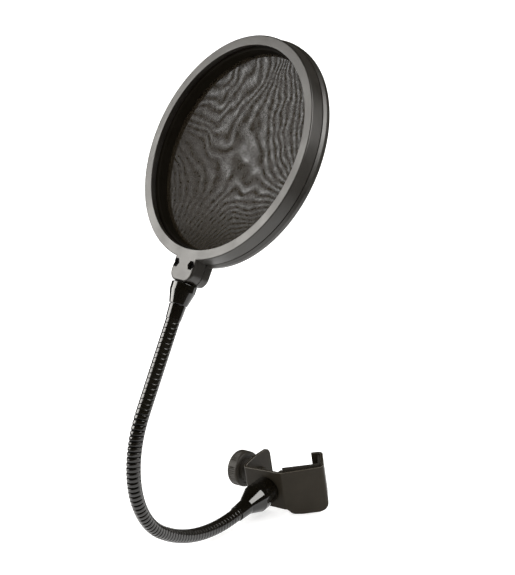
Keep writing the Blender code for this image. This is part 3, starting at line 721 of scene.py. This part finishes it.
def build_thread():
    """Thumbscrew with a rolled thread."""
    back = -(SHEET + KNOB_GAP)
    low, high = back - KNOB_LENGTH + 3 * MM, 16.4 * MM
    rows = [(0.0, 2.62), (0.22, 2.62), (0.45, 3.0), (0.6, 3.0), (0.9, 2.64)]
    bm = bmesh.new()
    grid = []
    for turn in range(int((high - low) / THREAD_PITCH)):
        for place, radius in rows:
            grid.append([])
            for c in range(THREAD_COLUMNS):
                theta = 2 * math.pi * c / THREAD_COLUMNS
                z = min(low + (turn + place + c / THREAD_COLUMNS) * THREAD_PITCH, high)
                grid[-1].append(bm.verts.new((radius * MM * math.cos(theta), radius * MM * math.sin(theta), z)))
    wind(bm, grid, len(rows), len(grid))
    nose = filleted([(0, 16.0 * MM), (2.5 * MM, 16.0 * MM), (2.6 * MM, 17.0 * MM), (2.2 * MM, 17.6 * MM),
                     (2.2 * MM, 19.4 * MM), (0, 19.4 * MM)], [0, 0.1 * MM, 0.3 * MM, 0, 0.2 * MM, 0], 3)
    tip = lathe(nose, THREAD_COLUMNS)
    mesh = bpy.data.meshes.new("tip")
    tip.to_mesh(mesh)
    tip.free()
    bm.from_mesh(mesh)
    bpy.data.meshes.remove(mesh)
    bmesh.ops.recalc_face_normals(bm, faces=bm.faces)
    screw = add_piece("clamp_screw_threaded", bm, SCREW, STEEL, 50)
    stand_for(screw, "screw", "steel", "clamp_screw")


def finish_node(name, mat, width=0.0, edge_highlight=None):
    """A CAD node that stays: its finish, and the small radius on its edges, whose bevel faces can take a lighter
    material as a painted highlight.
    """
    obj = NODES[name]
    obj.data.materials.clear()
    obj.data.materials.append(mat)
    if width:
        weld = obj.modifiers.new("weld", 'WELD')
        weld.merge_threshold = WELD
        bevel = obj.modifiers.new("edge_highlight", 'BEVEL')
        bevel.width = width
        bevel.segments = 3
        bevel.limit_method = 'ANGLE'
        bevel.angle_limit = math.radians(35)
        # the bevel faces take the lighter material, a painted highlight along the edges
        if edge_highlight:
            obj.data.materials.append(edge_highlight)
            bevel.material = 1
    even_normals(obj)


def build_clamp():
    # the bracket's edges get the painted highlight colour
    finish_node("clamp_bracket", PAINT, 0.45 * MM, EDGE_HIGHLIGHT)
    finish_node("jaw_liner", RUBBER, 0.3 * MM)
    finish_node("threaded_bush", PAINT)
    finish_node("mounting_washer", STEEL)
    finish_node("mounting_bolt", OXIDE, 0.3 * MM)
    finish_node("pressure_pad", PAINT)
    finish_node("pad_facing", RUBBER)
    finish_node("knob_cap", KNOB)
    finish_node("stem_stud", STEEL)
    for name in ("tab_nut_left", "tab_nut_right"):
        finish_node(name, OXIDE, 0.15 * MM)
    for name in ("tab_screw_left", "tab_screw_right"):
        finish_node(name, OXIDE)


# ---------------------------------------------------------------- stage

CAMERA = Vector((-0.035200, -1.404750, 0.498530))
CAMERA_DIP = math.radians(14)
SENSOR = 36                         # millimetres, as for the lens
LENS = 2000 / 575 * SENSOR


def build_stage():
    """Floor, backdrop, lights, world and camera. The overhead light gives no reflections, and each softbox
    gives nothing else."""
    low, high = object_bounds()
    middle = (low + high) / 2
    turned = Matrix.Rotation(YAW, 3, 'Z')
    for name, size, drop in (("floor", 0.42, 0.0), ("floor_beyond", 14.0, 0.0005)):
        bm = bmesh.new()
        centre = Vector((middle.x, middle.y, low.z - drop))
        bm.faces.new([bm.verts.new(centre + turned @ Vector((x, y, 0)) * size)
                      for x, y in ((-1, -1), (1, -1), (1, 1), (-1, 1))])
        floor = add_piece(name, bm, Matrix.Identity(4), FLOOR)
        floor.visible_glossy = size < 1
    bm = bmesh.new()
    steps, reach = 96, 9
    turns = [2 * math.pi * i / steps for i in range(steps)]
    rims = [[bm.verts.new((middle.x + reach * math.cos(turn), middle.y + reach * math.sin(turn), z))
             for turn in turns] for z in (low.z - 0.01, low.z + reach)]
    for i in range(steps):
        j = (i + 1) % steps
        bm.faces.new((rims[0][j], rims[0][i], rims[1][i], rims[1][j]))
    backdrop = add_piece("backdrop", bm, Matrix.Identity(4), FLOOR)
    backdrop.visible_diffuse = False
    backdrop.visible_glossy = False
    backdrop.visible_shadow = False

    def lamp(name, kind, towards, distance, **values):
        data = bpy.data.lights.new(name, kind)
        for key, value in values.items():
            setattr(data, key, value)
        obj = bpy.data.objects.new(name, data)
        bpy.context.scene.collection.objects.link(obj)
        way = Vector(towards).normalized()
        obj.location = middle + way * distance
        obj.rotation_euler = (-way).to_track_quat('-Z', 'Y').to_euler()
        return obj

    dome = lamp("overhead", 'SUN', (0.05, 0.1, 1.0), 2.0, energy=4.9, angle=math.radians(165),
                color=(1, 0.995, 0.985))
    dome.visible_glossy = False
    left = lamp("left_softbox", 'AREA', (-0.9986, 0.070, 0.25), 1.6, energy=38, shape='RECTANGLE', size=1.1,
                size_y=1.0, color=(1, 0.975, 0.93))
    left.visible_diffuse = False
    right = lamp("right_softbox", 'AREA', (0.62, -0.38, 0.66), 1.3, energy=29, shape='RECTANGLE', size=0.8,
                 size_y=1.1, color=(1, 0.98, 0.95))
    right.visible_diffuse = False

    world = bpy.data.worlds.new("studio")
    bpy.context.scene.world = world
    world.use_nodes = True
    tree = world.node_tree
    back = tree.nodes["Background"]
    split = node(tree, "ShaderNodeSeparateXYZ")
    link(tree, node(tree, "ShaderNodeTexCoord").outputs["Generated"], split.inputs[0])
    height = remap(tree, split.outputs[2], 0.0, 1.0, -0.4, 0.6)
    dim = [(0.0, (0.10, 0.096, 0.088)), (1.0, (0.03, 0.029, 0.027))]
    link(tree, ramp(tree, height, dim), back.inputs["Color"])
    back.inputs["Strength"].default_value = 1.0

    data = bpy.data.cameras.new("camera")
    data.sensor_width = SENSOR
    data.lens = LENS
    data.clip_end = 60
    camera = bpy.data.objects.new("camera", data)
    bpy.context.scene.collection.objects.link(camera)
    camera.location = CAMERA
    camera.rotation_euler = (math.radians(90) - CAMERA_DIP, 0, 0)
    bpy.context.scene.camera = camera
    bpy.context.scene.view_settings.view_transform = 'Standard'


build_head()
build_neck()
build_ferrules()
build_knob()
build_thread()
build_clamp()
build_stage()
